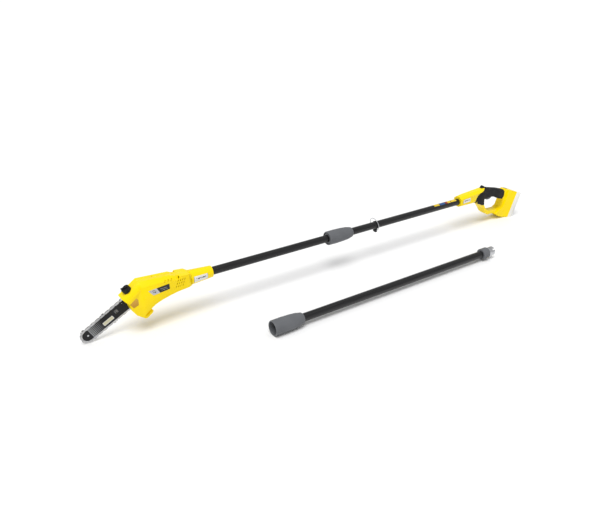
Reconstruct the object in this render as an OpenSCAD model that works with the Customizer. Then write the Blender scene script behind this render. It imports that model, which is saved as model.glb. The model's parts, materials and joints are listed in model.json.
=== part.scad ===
// Cordless sectional pole saw with a separate extension tube, all sizes in millimetres.
// The pole lies level along X with the saw head towards -X and the battery handle towards +X.
// The origin is on the floor, in the middle of the whole set.

/* [Pole] */
// Overall length, from the tip of the chain to the rear of the battery dock
total_l = 2060; // [1500:10:2600]
// Outer diameter of the pole tubes
tube_d = 28.6; // [24:0.1:34]
// Wall of the pole tubes
tube_wall = 1.6; // [1:0.1:2.5]
// Distance from the rear of the coupling sleeve to the rear of the battery dock
rear_section_l = 996; // [850:2:1200]

/* [Coupling] */
// Length of the threaded coupling sleeve
sleeve_l = 116; // [105:1:140]
// Outer radius of the sleeve's mouth, across its flats
sleeve_r = 26.5; // [25:0.5:32]
// Length of the grey collar on a plug end
collar_l = 34; // [28:1:36]
// Outer radius of that collar
collar_r = 22.4; // [21:0.1:23]
// Length of the threaded plug behind the collar
plug_l = 32; // [26:1:34]
// Outer radius of the threaded plug
plug_r = 18; // [17.8:0.1:20]

/* [Extension] */
// Overall length of the loose extension tube
ext_l = 1057; // [800:1:1300]
// Distance between the axes of the extension and the pole
ext_gap = 275; // [200:5:400]
// Distance from the tip of the chain to the open end of the extension
ext_setback = 530; // [300:5:700]

/* [Saw head] */
// Length of the head housing, from its lip to the end of its neck
head_l = 318; // [314:1:380]
// Length of the neck that holds the tube
neck_l = 81; // [60:1:84]
// Wall thickness of the plastic housings
shell_wall = 2.4; // [2:0.1:3]
// Number of drive links in the saw chain
link_count = 30; // [28:1:40]
// Length of the chain from one rivet to the next
chain_pitch = 9.525; // [8:0.001:11]
// Thickness of the guide bar
bar_t = 3.6; // [3.2:0.1:4.4]
// Radius of the motor can
motor_r = 16; // [13:0.5:16.5]
// Radius of the oil cap
cap_r = 14; // [12:0.5:17]

/* [Handle] */
// Height of the pole axis over the floor
pole_h = 134; // [128:1:160]
// Half width of the hand grip
grip_w = 17; // [15:0.5:20]
// Half width of the battery housing
dock_w = 40; // [36:0.5:46]
// Thickness of the soft grip layer
grip_t = 2.4; // [1.5:0.1:3]
// Lean of the battery dock from upright, in degrees
dock_lean = 19; // [14:1:22]

/* [Hidden] */
$fn = 48;

// Clearances
run_gap = 0.1;
fit_gap = 0.3;
loose_gap = 0.5;
eps = 0.01;
far = 400;

// Overall places
tube_r = tube_d / 2;
tube_bore_r = tube_r - tube_wall;
pole_y = (ext_gap + sleeve_r - dock_w) / 2;
ext_y = pole_y - ext_gap;
tip_x = -total_l / 2;
dock_x = total_l / 2;

// ---------------------------------------------------------------- helpers

// Children are an outline in X and Z, given thickness from y0 to y1
module plate(y0, y1) {
    translate([0, y1, 0]) rotate([90, 0, 0]) linear_extrude(y1 - y0) children();
}

module rod_x(x0, x1, r) {
    translate([x0, 0, 0]) rotate([0, 90, 0]) cylinder(h = x1 - x0, r = r);
}

module rod_y(y0, y1, r) {
    translate([0, y1, 0]) rotate([90, 0, 0]) cylinder(h = y1 - y0, r = r);
}

module tube_x(x0, x1, r_out, r_in) {
    difference() {
        rod_x(x0, x1, r_out);
        rod_x(x0 - eps, x1 + eps, r_in);
    }
}

module tube_y(y0, y1, r_out, r_in) {
    difference() {
        rod_y(y0, y1, r_out);
        rod_y(y0 - eps, y1 + eps, r_in);
    }
}

// A box from one corner to the opposite one
module box(low, high) {
    translate(low) cube(high - low);
}

// Children are an outline of X and radius, turned about the X axis
module turned_x() {
    rotate([0, 90, 0]) rotate_extrude() mirror([1, -1]) children();
}

// ---------------------------------------------------------------- saw chain path

// The path runs through the rivets, in the bar's own frame: the drive sprocket's centre is the
// origin, +X points from the bar's nose to the sprocket, and z is measured across the bar.
drive_teeth = 8;
nose_teeth = 14;
link_step = 2 * chain_pitch;
drive_r = drive_teeth * link_step / (2 * PI);
nose_r = nose_teeth * chain_pitch / (2 * PI);
straight_sum = link_count * link_step - PI * (drive_r + nose_r);
bar_reach = (straight_sum + sqrt(pow(straight_sum, 2) - 8 * pow(drive_r - nose_r, 2))) / 4;
bar_taper = asin((drive_r - nose_r) / bar_reach);
drive_arc = drive_r * (90 + bar_taper) * PI / 180;
straight_l = bar_reach * cos(bar_taper);
cutter_h = 6.2;
strap_h = 3.2;
bar_y = 6;
sprocket_x = -242;
sprocket_z = -3;
bar_angle = asin((pole_h + sprocket_z - nose_r - cutter_h) / bar_reach);

function deg(arc, r) = arc / r * 180 / PI;

// Place on the upper half of the path, as x, z and the direction that points outwards
function upper_pose(s) =
    s <= drive_arc
    ? [drive_r * cos(deg(s, drive_r)), drive_r * sin(deg(s, drive_r)), deg(s, drive_r)]
    : s <= drive_arc + straight_l
    ? [
        -drive_r * sin(bar_taper) - (s - drive_arc) * cos(bar_taper),
        drive_r * cos(bar_taper) - (s - drive_arc) * sin(bar_taper),
        90 + bar_taper,
    ]
    : let (a = 90 + bar_taper + deg(s - drive_arc - straight_l, nose_r))
      [-bar_reach + nose_r * cos(a), nose_r * sin(a), a];

function mirrored(p) = [p[0], -p[1], -p[2]];

function path_pose(s) = s < 0 ? mirrored(upper_pose(-s)) : upper_pose(s);

// Children are drawn around a point of the path, with +Z pointing outwards
module at_pose(p) {
    translate([p[0], 0, p[1]]) rotate([0, 90 - p[2], 0]) children();
}

// ---------------------------------------------------------------- saw head

head_x = tip_x + bar_reach * cos(bar_angle) + nose_r + cutter_h - sprocket_x;
neck_r = tube_r + 6;
hump_z = 43;
lip_z = 0;
near_y = -36;
cover_y = 24;
split_x = -206;
motor_y = -10;
motor_front = -200;
motor_rear = -140;
panel_angle = atan((hump_z - lip_z) / 60);
cap_place = [-291.5, -8, 17.4];
wall_bend_x = -256;

module head_frame() {
    translate([head_x, pole_y, pole_h]) children();
}

module bar_frame() {
    head_frame() translate([sprocket_x, 0, sprocket_z]) rotate([0, -bar_angle, 0]) children();
}

// +Z stands square on the sloping front panel
module cap_frame() {
    head_frame() translate(cap_place) rotate([0, -panel_angle, 0]) children();
}

// Side view of the housing, from the lip over the bar, along the top and back underneath
head_side = [
    [-head_l, lip_z], [60 - head_l, hump_z], [-150, hump_z - 7], [-137, hump_z - 13],
    [-neck_l - 11, hump_z - 16], [-neck_l, neck_r], [-neck_l, -neck_r], [-133, -neck_r - 3.5], [-160, -28],
    [-190, -35], [-214, -43], [-240, -59], [-255, -72], [-265, -74.5], [-281, -62], [-296, -39],
    [18 - head_l, -17],
];

// Top view of the housing
head_plan = [
    [-head_l - 2, near_y + 6], [14 - head_l, near_y], [wall_bend_x, near_y],
    [-neck_l - 11, -neck_r - 6], [-neck_l, -neck_r], [-neck_l, neck_r],
    [-neck_l - 11, neck_r + 3], [-150, 27], [split_x, 27], [split_x, cover_y], [14 - head_l, cover_y],
    [-head_l - 2, cover_y - 8],
];

// What lies outside a plane that slopes the edge from p to q: the edge is at the height y of
// the top view, and the plane passes it at a depth. side is 1 on the near side and -1 on the far.
module edge_slope(p, q, y, depth, side) {
    run = norm(q - p);
    angle = atan2(q[1] - p[1], q[0] - p[0]);
    translate([p[0], y, p[1]]) rotate([0, -angle, 0]) rotate([side * edge_tilt, 0, 0])
        translate([run / 2, 0, far / 2 - depth]) cube([run + 2 * slope_overlap, far, far], center = true);
}

edge_tilt = 38;
slope_overlap = 12;
near_slope = 11;
cover_slope = 6;

// The outside of the head, or its inside when it is set in by a wall
module head_solid(inset) {
    difference() {
        intersection() {
            plate(-60, 60) offset(delta = -inset) polygon(head_side);
            translate([0, 0, -150]) linear_extrude(300) offset(delta = -inset) polygon(head_plan);
        }
        for (i = [0 : 2]) {
            edge_slope(head_side[i], head_side[i + 1], near_y, near_slope + inset, 1);
            edge_slope(head_side[i], head_side[i + 1], cover_y, cover_slope + inset, -1);
        }
    }
}

window_outline = [[-277, -1], [-271, -8], [-271, -27], [-288, -34], [-299, -18]];
vent_pitch = 8;
stud_x = -46;
stud_r = 4;
pad_y = bar_y - bar_t / 2 - 0.2;
pad_x = [-60, -29];
cover_wall_y = 2.3;
partition_y = 2;

// Slanted air slots in a side wall, in rows along the motor
module vent_slots(y0, y1) {
    for (row = [0 : 2], column = [0 : 3])
        translate([-134 + column * vent_pitch - row * 4, 0, 12 - row * 10])
            plate(y0, y1) polygon([[0, 0], [2.6, 0], [6, 6], [3.4, 6]]);
    for (column = [0 : 2])
        translate([-180 + column * 11, 0, 23]) plate(y0, y1) polygon([[0, 0], [2.6, 0], [6.4, 7], [3.8, 7]]);
}

screw_places = [[-190, 30], [-195, -27.5], [-102, 18.5], [-102, -17]];
screw_r = 1.5;
boss_r = 3.4;

// The bosses that the housing screws pass through
module screw_bosses(y0, y1) {
    for (p = screw_places) translate([p[0], 0, p[1]]) rod_y(y0, y1, boss_r);
}

module screw_holes(y0, y1) {
    for (p = screw_places) translate([p[0], 0, p[1]]) rod_y(y0, y1, screw_r + 0.05);
}

neck_bore_r = tube_r + 0.05;

// The neck round the tube
module neck_solid() {
    rod_x(-neck_l - 12, 0, neck_r);
}

module head_body() {
    head_solid(0);
    neck_solid();
}

// The room inside: a hollow in front and the tube's seat behind
module head_room() {
    head_solid(shell_wall);
    rod_x(-neck_l - 12, 1, neck_bore_r);
}

module head_shell_near() color("gold") head_frame() {
    difference() {
        intersection() {
            union() {
                difference() {
                    head_body();
                    head_room();
                }
                intersection() {
                    head_solid(shell_wall / 2);
                    union() {
                        screw_bosses(-60, 0);
                        box([-far, 0, -far], [split_x - 2, partition_y, far]);
                    }
                }
            }
            union() {
                box([-far, -60, -far], [split_x - 2, partition_y, far]);
                box([split_x - 2 - eps, -60, -far], [far, 0, far]);
            }
        }
        plate(near_y - 1, near_y + shell_wall + 1) polygon(window_outline);
        vent_slots(-60, -20);
        screw_holes(-24, 60);
        translate(cap_place) rotate([0, -panel_angle, 0]) cylinder(h = 40, r = neck_hole_r, center = true);
        translate([sprocket_x, 0, sprocket_z]) rotate([0, -bar_angle, 0]) {
            rod_y(-1, partition_y + 1, hub_hole_r);
            box([pad_x[0] - 1, -1, -15], [pad_x[1] + 1, partition_y + 1, 15]);
        }
    }
}

neck_hole_r = 10;
hub_hole_r = 14;

module head_shell_far() color("gold") head_frame() {
    difference() {
        intersection() {
            union() {
                difference() {
                    head_body();
                    head_room();
                }
                intersection() {
                    head_solid(shell_wall / 2);
                    union() {
                        screw_bosses(0, 60);
                        box([split_x, 0, -far], [split_x + 2, 60, far]);
                    }
                }
            }
            box([split_x, 0, -far], [far, 60, far]);
        }
        screw_holes(-1, 60);
        for (p = screw_places) translate([p[0], 0, p[1]]) rod_y(screw_head_y(p), 60, screw_r + 1.5);
        vent_slots(18, 60);
    }
}

// The depth at which a screw's head sits, deeper in the neck
function screw_head_y(p) = p[0] > -120 ? 9 : 18;

module head_screws() color("dimgray") head_frame() {
    for (p = screw_places) translate([p[0], 0, p[1]]) {
        rod_y(-12, screw_head_y(p) + eps, screw_r);
        difference() {
            rod_y(screw_head_y(p), screw_head_y(p) + 2, screw_r + 1.3);
            rod_y(screw_head_y(p) + 1, screw_head_y(p) + 3, 1);
        }
    }
}

// Cover over the chain and the drive sprocket on the far side
module sprocket_cover() color("gold") head_frame() {
    difference() {
        intersection() {
            union() {
                difference() {
                    head_solid(0);
                    head_solid(shell_wall);
                }
                intersection() {
                    head_solid(shell_wall / 2);
                    box([split_x - 4, cover_wall_y, -far], [split_x - 2, 60, far]);
                }
                intersection() {
                    head_solid(shell_wall / 2);
                    translate([sprocket_x, 0, sprocket_z]) rotate([0, -bar_angle, 0]) {
                        translate([stud_x, 0, 0]) {
                            rod_y(bar_y + bar_t / 2 + fit_gap, 60, stud_r + 3.5);
                            rod_y(nut_seat_y - shell_wall, 60, nut_r + 1.5 + shell_wall);
                        }
                        for (x = screw_lugs) box([x, bar_y + 4, -19], [x + 3, 60, -7]);
                    }
                }
            }
            box([-far, cover_wall_y, -far], [split_x - 2, 60, far]);
        }
        translate([sprocket_x, 0, sprocket_z]) rotate([0, -bar_angle, 0]) {
            translate([stud_x, 0, 0]) rod_y(0, 60, stud_r + fit_gap);
            translate([stud_x, 0, 0]) rod_y(nut_seat_y, 60, nut_r + 1.5);
            translate([0, screw_y, screw_z]) rod_x(-140, screw_lugs[1] + 1.5, tension_r + run_gap);
            box([-120, 0, -chain_room], [-50, bar_y + 3.6, chain_room]);
        }
    }
}

nut_r = 8;
nut_seat_y = cover_y - 4;
chain_room = 31;
screw_lugs = [-56, -27];
screw_y = bar_y + 6.5;
screw_z = -13;
tension_r = 2.5;

module bar_nut() color("silver") bar_frame() {
    translate([stud_x, 0, 0]) difference() {
        union() {
            rod_y(nut_seat_y + fit_gap, nut_seat_y + 2, nut_r + 1);
            translate([0, nut_seat_y + 8, 0]) rotate([90, 0, 0]) cylinder(h = 7, r = nut_r, $fn = 6);
        }
        rod_y(0, 60, stud_r + 0.05);
    }
}

module bar_stud() color("silver") bar_frame() {
    translate([stud_x, 0, 0]) {
        rod_y(-1, nut_seat_y + 9, stud_r);
        rod_y(-1, 1, stud_r + 1.5);
    }
}

// ---------------------------------------------------------------- bar and chain

rail_depth = strap_h + 0.2;
groove_depth = 5;
tang_depth = 4.2;
tang_reach = rail_depth + tang_depth;
bar_tail = -26;
link_t = 1.2;
strap_t = 1.4;
link_l = 15.4;

// Outline of the bar, set in from its rails
module bar_outline(inset) {
    nose = nose_r - rail_depth - inset;
    tail = drive_r - rail_depth - inset;
    half_tail = tail * cos(bar_taper) + bar_tail * sin(bar_taper);
    translate([-bar_reach, 0]) circle(r = nose);
    polygon([
        [-bar_reach - nose * sin(bar_taper), nose * cos(bar_taper)],
        [bar_tail - 8, half_tail + 8 * sin(bar_taper) - 0.2], [bar_tail, half_tail - 8],
        [bar_tail, 8 - half_tail], [bar_tail - 8, 0.2 - half_tail - 8 * sin(bar_taper)],
        [-bar_reach - nose * sin(bar_taper), -nose * cos(bar_taper)],
    ]);
}

// The toothed wheels turn inside the tangs
nose_wheel_r = nose_r - tang_reach - fit_gap;
drive_wheel_r = drive_r - tang_reach - fit_gap;
slot_l = 16;
pin_x = -38;
pin_z = 11;
pin_r = 2.5;

module guide_bar() color("#202224") bar_frame() {
    difference() {
        union() {
            plate(bar_y - bar_t / 2, bar_y - 0.75) bar_outline(0);
            plate(bar_y - 0.75, bar_y + 0.75) bar_outline(groove_depth);
            plate(bar_y + 0.75, bar_y + bar_t / 2) bar_outline(0);
        }
        translate([-bar_reach, 0, 0]) {
            rod_y(bar_y - 0.75, bar_y + 0.75, nose_wheel_r + 1);
            rod_y(0, 12, axle_r + 0.05);
        }
        translate([stud_x - slot_l / 2, 0, 0]) rod_y(0, 12, stud_r + fit_gap);
        translate([stud_x, 0, 0]) rod_y(0, 12, stud_r + fit_gap);
        box([stud_x - slot_l / 2, 0, -stud_r - fit_gap], [stud_x, 12, stud_r + fit_gap]);
        for (side = [-1, 1]) translate([pin_x, 0, side * pin_z]) rod_y(0, 12, pin_r + run_gap);
        translate([pin_x - 36, 0, 12]) rod_y(0, 12, 1.5);
    }
}

axle_r = 3;

// Points of a toothed wheel: each tooth has a root, a tip and a flat top
function wheel_points(teeth, root, tip, root_w, tip_w, turn = 0) = [
    for (i = [0 : teeth - 1])
        let (a = turn + 360 * (i + 0.5) / teeth, ru = asin(root_w / 2 / root), tu = asin(tip_w / 2 / tip))
            for (c = [[root, -ru], [tip, -tu], [tip, tu], [root, ru]])
                [c[0] * cos(a + c[1]), c[0] * sin(a + c[1])],
];

module nose_sprocket() color("silver") bar_frame() translate([-bar_reach, 0, 0]) {
    plate(bar_y - 0.6, bar_y + 0.6) polygon(wheel_points(nose_teeth, nose_wheel_r - 3.2, nose_wheel_r, 3, 1.8));
    rod_y(bar_y - bar_t / 2, bar_y + bar_t / 2, axle_r);
}

// A drive link, with a tang that runs in the bar's groove
module drive_link() {
    polygon([
        [-link_l / 2, -1.4], [-5, -strap_h], [-1.6, -tang_reach], [1.8, -tang_reach],
        [5, -strap_h], [link_l / 2, -1.4], [link_l / 2, 1.4], [5, 3], [-5, 3], [-link_l / 2, 1.4],
    ]);
}

module tie_strap() {
    polygon([
        [-link_l / 2, -1.6], [-link_l / 2 + 1.6, -strap_h], [link_l / 2 - 1.6, -strap_h],
        [link_l / 2, -1.6], [link_l / 2, 1.6], [link_l / 2 - 1.8, strap_h], [1.8 - link_l / 2, strap_h],
        [-link_l / 2, 1.6],
    ]);
}

// A cutter: the depth gauge leads and the cutting edge follows it
module cutter_link() {
    polygon([
        [-link_l / 2, -1.6], [-link_l / 2 + 1.6, -strap_h], [link_l / 2 - 1.6, -strap_h],
        [link_l / 2, -1.6], [link_l / 2, cutter_h - 1.2], [-0.8, cutter_h], [0.8, 2.6], [-2.4, 2],
        [-3.4, cutter_h - 1], [-5.4, cutter_h - 1.6], [-link_l / 2, 1.6],
    ]);
}

module saw_chain() color("lightgray") bar_frame() {
    half = floor(link_count / 2);
    for (k = [1 - half : link_count - half]) {
        at_pose(path_pose(k * link_step)) plate(bar_y - link_t / 2, bar_y + link_t / 2) drive_link();
        at_pose(path_pose((k - 0.5) * link_step)) {
            plate(bar_y - link_t / 2 - strap_t, bar_y - link_t / 2 + eps)
                if (k % 4 == 0) cutter_link(); else tie_strap();
            plate(bar_y + link_t / 2 - eps, bar_y + link_t / 2 + strap_t)
                if (abs(k % 4) == 2) cutter_link(); else tie_strap();
        }
    }
}

// ---------------------------------------------------------------- drive

shaft_r = 5;
crown_teeth = 36;
pinion_teeth = 9;
gear_module = 1;
crown_r = crown_teeth * gear_module / 2;
pinion_r = pinion_teeth * gear_module / 2;
mesh_y = motor_y + pinion_r;
crown_disc = [mesh_y + 1.1, mesh_y + 4];
crown_face = 3;

module drive_frame() {
    head_frame() translate([sprocket_x, 0, sprocket_z]) children();
}

module drive_sprocket() color("dimgray") bar_frame() difference() {
    union() {
        plate(bar_y - 1.5, bar_y + 1.5)
            polygon(wheel_points(drive_teeth, drive_wheel_r - 4.6, drive_wheel_r, 6, 4.6));
        rod_y(bar_y - 2.2, bar_y + 4, shaft_r + 4);
    }
    rod_y(0, 20, shaft_r);
}

module output_shaft() color("silver") drive_frame() {
    difference() {
        rod_y(near_bearing_y + 0.5, bar_y + 7, shaft_r);
        tube_y(bar_y + 4.2, bar_y + 5.4, shaft_r + 1, shaft_r - 1);
    }
    tube_y(bar_y + 4.3, bar_y + 5.3, shaft_r + 3, shaft_r - 1);
}

module crown_gear() color("gray") drive_frame() {
    tube_y(crown_disc[0], crown_disc[1], crown_r + crown_face, shaft_r);
    tube_y(crown_disc[0] - 8, crown_disc[0] + eps, shaft_r + 4, shaft_r);
    for (i = [0 : crown_teeth - 1]) rotate([0, i * 360 / crown_teeth, 0])
        box([crown_r - crown_face, mesh_y - 0.8, -0.45], [crown_r + crown_face, crown_disc[0] + eps, 0.45]);
}

bearing_r = 10;
bearing_t = 4;

near_bearing_y = -21;
far_bearing_y = pad_y - bearing_t - 0.6;

module shaft_bearings() color("silver") drive_frame() {
    for (y = [near_bearing_y, far_bearing_y]) translate([0, y, 0]) difference() {
        rod_y(0, bearing_t, bearing_r);
        rod_y(-1, bearing_t + 1, shaft_r + 0.02);
    }
}

case_low = [-272, -25, -30];
case_high = [-203, 0, 24];

// Gear case with a flat pad that the bar is clamped against
module gear_case() color("lightslategray") head_frame() {
    difference() {
        union() {
            box(case_low, [case_high[0], -0.2, case_high[2]]);
            translate([sprocket_x, 0, sprocket_z]) rotate([0, -bar_angle, 0]) {
                box([pad_x[0], -1, -14], [pad_x[1], pad_y, 14]);
                rod_y(-1, pad_y - 0.6, bearing_r + 3);
            }
        }
        translate([sprocket_x, 0, sprocket_z]) {
            rod_y(near_bearing_y + bearing_t + 0.5, crown_disc[1] + loose_gap, crown_r + crown_face + 1);
            rod_y(-60, 60, shaft_r + 1);
            rod_y(near_bearing_y, near_bearing_y + bearing_t + eps, bearing_r);
            rod_y(far_bearing_y, 60, bearing_r);
            rotate([0, -bar_angle, 0]) translate([stud_x, 0, 0]) {
                rod_y(-60, 60, stud_r);
                rod_y(-60, 1, stud_r + 1.5);
            }
        }
        translate([0, motor_y, sprocket_z]) {
            rod_x(sprocket_x + crown_r - crown_face - 2, 0, pinion_r + 2.2);
            rod_x(motor_front - 8, 0, 8.3);
        }
    }
}

motor_shaft_r = 1.6;
pinion_x = [sprocket_x + crown_r - crown_face - 0.5, sprocket_x + crown_r + crown_face + 0.5];

module rotor_frame() {
    head_frame() translate([0, motor_y, sprocket_z]) children();
}

module motor_pinion() color("silver") rotor_frame() difference() {
    translate([pinion_x[0], 0, 0]) rotate([0, 90, 0]) linear_extrude(pinion_x[1] - pinion_x[0] + 6)
        polygon(wheel_points(pinion_teeth, pinion_r - 1.1, pinion_r + 0.8, 1.7, 0.8, 90));
    rod_x(-far, far, motor_shaft_r);
}

// Steel can with a front boss, open holes for the shaft and closed ends
module motor_can() color("silver") rotor_frame() difference() {
    union() {
        rod_x(motor_front, motor_rear, motor_r);
        rod_x(motor_front - 7.5, motor_front + eps, 8);
    }
    rod_x(motor_front + 1.5, motor_rear - 2, motor_r - 1.2);
    rod_x(motor_front - 9, motor_front + 9, motor_shaft_r + 1);
    rod_x(motor_rear - 10, motor_rear + 9, motor_shaft_r + 2);
}

magnet_t = 4;

// Armature on its shaft, with the stack, the winding ends and the commutator
module motor_rotor() color("chocolate") rotor_frame() {
    stack_r = motor_r - magnet_t - 2;
    rod_x(pinion_x[0], motor_rear + 14, motor_shaft_r);
    difference() {
        rod_x(motor_front + 14, motor_rear - 20, stack_r);
        for (i = [0 : 4]) rotate([i * 72, 0, 0]) box([motor_front + 13, -1.2, 3.5], [motor_rear - 19, 1.2, 40]);
    }
    rod_x(motor_front + 9, motor_front + 14 + eps, stack_r - 2);
    rod_x(motor_rear - 20 - eps, motor_rear - 16, stack_r - 2);
    rod_x(motor_rear - 16 - eps, motor_rear - 9, 5);
}

module brush_holder() color("saddlebrown") rotor_frame() {
    difference() {
        rod_x(motor_rear - 6, motor_rear - 2, motor_r - 1.2);
        rod_x(-far, far, motor_shaft_r + 1);
    }
    for (side = [-1, 1]) box(
        [motor_rear - 14, side > 0 ? 5.4 : -13, -2.5], [motor_rear - 6 + 2 * eps, side > 0 ? 13 : -5.4, 2.5]);
}

module cooling_fan() color("black") rotor_frame() difference() {
    union() {
        rod_x(motor_rear + 3, motor_rear + 4.2, motor_r - 2.5);
        rod_x(motor_rear + 3, motor_rear + 11, 4);
        for (i = [0 : 7]) rotate([i * 45, 0, 0]) box([motor_rear + 4, -0.6, 3], [motor_rear + 10, 0.6, motor_r - 2.5]);
    }
    rod_x(-far, far, motor_shaft_r);
}

// ---------------------------------------------------------------- oiling and chain tension

tank_outline = [
    [-302, -4], [-285, 10], [-277, 10], [-277, -52], [-283, -50], [-292.5, -34], [-295.5, -17],
];
tank_wall = 1.6;
tank_y = [near_y + shell_wall + 5.3, -1.6];

module oil_tank() color("#d8d2b8") difference() {
    union() {
        head_frame() plate(tank_y[0], tank_y[1]) polygon(tank_outline);
        cap_frame() translate([0, 0, -16]) cylinder(h = 19, r = neck_hole_r - 1);
    }
    head_frame() plate(tank_y[0] + tank_wall, tank_y[1] - tank_wall) offset(delta = -tank_wall) polygon(tank_outline);
    cap_frame() translate([0, 0, -17]) cylinder(h = 30, r = neck_hole_r - 3);
    head_frame() translate([0, hose_y, hose_z]) rod_x(-279, -270, 2.2);
}

module oil_window() color("#d09020") head_frame()
    plate(near_y + 0.4, near_y + shell_wall) offset(delta = -0.15) polygon(window_outline);

cap_h = 14;
// The cap's rim stands this far off its frame, just clear of the panel
cap_seat_z = 1.7;

// Cap with a moulded grip rib across its top
module oil_cap() color("#222428") cap_frame() {
    difference() {
        translate([0, 0, cap_seat_z]) cylinder(h = cap_h - 1, r = cap_r);
        translate([0, 0, 0]) cylinder(h = 9, r = neck_hole_r - 1 + run_gap);
        for (i = [0 : 11]) rotate(i * 30) translate([cap_r + 0.8, 0, -1]) cylinder(h = 30, r = 1.6, $fn = 16);
    }
    rotate(-38) translate([-cap_r + 0.5, -1.6, cap_h]) cube([2 * cap_r - 1, 3.2, 5.6]);
}

module oil_pump() color("gray") head_frame() difference() {
    union() {
        box([-266, -13, -44], [-246, -3, case_low[2]]);
        translate([0, hose_y, hose_z]) rod_x(-269, -265, 3);
    }
    translate([0, hose_y, hose_z]) rod_x(-270, -262, 1.2);
}

module oil_hose() color("#3a3a3a") head_frame() difference() {
    translate([0, hose_y, hose_z]) rod_x(-277.5, -269, 2.2);
    translate([0, hose_y, hose_z]) rod_x(-279, -268, 1.2);
}

hose_y = -8;
hose_z = -38;

module tension_screw() color("silver") bar_frame() translate([0, screw_y, screw_z]) {
    rod_x(screw_lugs[0] - 4, screw_lugs[1] + 1.5, tension_r);
    difference() {
        rod_x(screw_lugs[0] - 4, screw_lugs[0] - fit_gap, tension_r + 2);
        box([screw_lugs[0] - 5, -5, -0.5], [screw_lugs[0] - 3, 5, 0.5]);
    }
}

// Block on the tension screw, with the pin that moves the bar
module tension_block() color("gray") bar_frame() {
    difference() {
        box([pin_x - 5, bar_y + 3, screw_z - 5], [pin_x + 5, screw_y + 4.8, screw_z + 5]);
        translate([0, screw_y, screw_z]) rod_x(-far, 0, tension_r + 0.05);
    }
    translate([pin_x, 0, -pin_z]) rod_y(bar_y - 1, bar_y + 3 + eps, pin_r);
}

// ---------------------------------------------------------------- hook, labels

hook_y = [-25, -9];

module branch_hook() color("gold") head_frame() plate(hook_y[0], hook_y[1]) polygon([
    [-265, -74.6], [-261, -82], [-252, -90], [-243, -90], [-225, -77], [-221, -70], [-227, -65],
    [-237, -73], [-244, -79], [-250, -79], [-255, -72.05],
]);

label_t = 0.4;

// The near wall behind its bend runs along X here, outwards is -Y
module near_wall_frame() {
    head_frame() translate([wall_bend_x, near_y, 0])
        rotate(atan2(-neck_r - 6 - near_y, -neck_l - 11 - wall_bend_x)) children();
}

module head_label() color("silver") near_wall_frame()
    plate(-label_t, 0) polygon([[20, 11], [93, 15], [94, -4], [58, -7], [36, -9]]);

module head_badge() color("white") head_frame() difference() {
    intersection() {
        rod_x(-74, -22, neck_r + label_t);
        box([-80, -60, -10], [0, 0, 8]);
    }
    rod_x(-80, 0, neck_r);
}

// ---------------------------------------------------------------- pole and coupling

handle_x = dock_x - 395;
rear_sleeve_x = dock_x - rear_section_l;
mouth_x = rear_sleeve_x - sleeve_l;
plug_depth = collar_l + plug_l + 2;
socket_l = plug_l - 9;
flange_l = 8;
tail_r = tube_r + 5.5;
contact_r = 2;
cable_r = 3.4;

// A frame on the pole's axis, at a distance from the middle of the set
module pole_frame(x) {
    translate([x, pole_y, pole_h]) children();
}

// Sleeve with its mouth at the origin, open towards -X: eight flats outside, three bores inside
module sleeve_body() difference() {
    intersection() {
        turned_x() polygon([
            [0, 0], [0, sleeve_r - 1.5], [2, sleeve_r], [sleeve_l * 0.3, sleeve_r + 0.6],
            [sleeve_l * 0.62, sleeve_r - 0.6], [sleeve_l - 22, sleeve_r - 2.5], [sleeve_l - 3, tail_r],
            [sleeve_l, tail_r - 2], [sleeve_l, 0],
        ]);
        rotate([0, 90, 0]) rotate(22.5) cylinder(h = sleeve_l, r = sleeve_r / cos(22.5), $fn = 8);
    }
    rod_x(-1, collar_l + 3, collar_r + fit_gap);
    rod_x(0, collar_l + 3 + socket_l, plug_r + fit_gap);
    rod_x(collar_l + 3 + socket_l - eps, plug_depth + flange_l + 1.3, plug_r + 2 * fit_gap);
    rod_x(0, sleeve_l + 1, tube_r + run_gap);
}

// Plug end of a tube, whose end face is at the origin and whose tip points to +X
module plug_body() difference() {
    union() {
        tube_x(0, plug_l, plug_r, plug_r - 3.2);
        tube_x(0, plug_l - 14, plug_r, 7);
    }
    for (a = [45, 225]) rotate([a, 0, 0]) box([plug_l - 12, -3, 0], [plug_l + 1, 3, plug_r + 1]);
}

// Collar that clamps a plug end to its tube, which ends at the origin
module collar_body() difference() {
    turned_x() polygon([
        [0, 0], [0, collar_r - 2], [2, collar_r], [collar_l - 3, collar_r], [collar_l, collar_r - 2], [collar_l, 0],
    ]);
    rod_x(-1, collar_l - 8, tube_r);
    rod_x(-1, collar_l + 1, 7);
}

// Receiver in the mouth end of a tube: a flange that keeps the sleeve on, and four contacts
module receiver_body() {
    difference() {
        union() {
            rod_x(0, flange_l, plug_r);
            rod_x(flange_l - eps, flange_l + 14, tube_bore_r);
        }
        rod_x(flange_l + 4, flange_l + 15, cable_r + 1);
    }
    for (a = [0 : 3]) rotate([a * 90, 0, 0]) translate([0, 0, 6]) rod_x(-8, eps, contact_r);
}

front_end = mouth_x + 2;
front_start = head_x - neck_l - 6;

module front_tube() color("#18191b") pole_frame(0) tube_x(front_start, front_end + collar_l - 8, tube_r, tube_bore_r);

module front_collar() color("dimgray") pole_frame(front_end) collar_body();

module front_plug() color("silver") pole_frame(front_end + collar_l) plug_body();

module front_cable() color("black") pole_frame(0) rod_x(front_start - 24, front_end + collar_l + 6, cable_r);

module coupling_sleeve() color("gray") pole_frame(mouth_x) sleeve_body();

rear_start = mouth_x + plug_depth + 1;
rear_end = handle_x + 92;

module rear_receiver() color("#303236") pole_frame(rear_start) receiver_body();

module rear_tube() color("#18191b") pole_frame(0) tube_x(rear_start + flange_l, rear_end, tube_r, tube_bore_r);

module rear_cable() color("black") pole_frame(0) rod_x(rear_start + flange_l + 4, rear_end + 18, cable_r);

// ---------------------------------------------------------------- strap ring

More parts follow.
